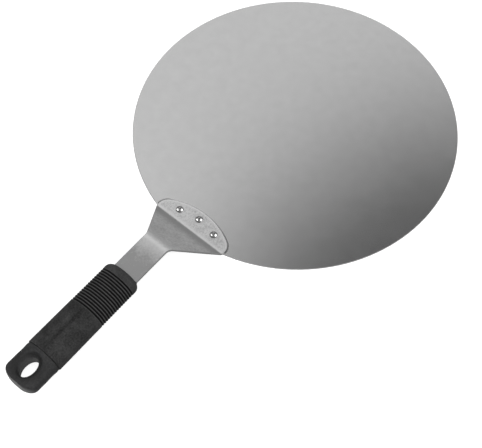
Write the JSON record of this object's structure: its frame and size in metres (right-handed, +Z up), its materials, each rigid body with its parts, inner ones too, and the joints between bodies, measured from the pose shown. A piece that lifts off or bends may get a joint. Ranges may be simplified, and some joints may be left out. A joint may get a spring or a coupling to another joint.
{
  "type": "pizza peel",
  "caption": "Round flat steel pizza peel with a riveted, cranked steel shank and a short ribbed black handle with a hang hole.",
  "frame": {"origin": "centre of the round blade's underside, where the peel rests", "axes": "+Y from the handle through the blade, so the handle runs along -Y; +Z up, out of the blade's upper face; +X to the right seen from the handle"},
  "size_m": [0.254, 0.4268, 0.0351],
  "materials": {
    "blade_steel": "satin, very fine non-directional grain",
    "shank_steel": "tumbled matt, slightly mottled",
    "rivet_steel": "polished",
    "core_plastic": "moulded, light texture",
    "grip_rubber": "soft matt"
  },
  "bodies": {
    "root": {"blade": "blade_steel", "shank": "shank_steel", "rivet_left": "rivet_steel", "rivet_centre": "rivet_steel", "rivet_right": "rivet_steel", "handle_core": "core_plastic", "grip_sleeve": "grip_rubber"}
  },
  "joints": []
}
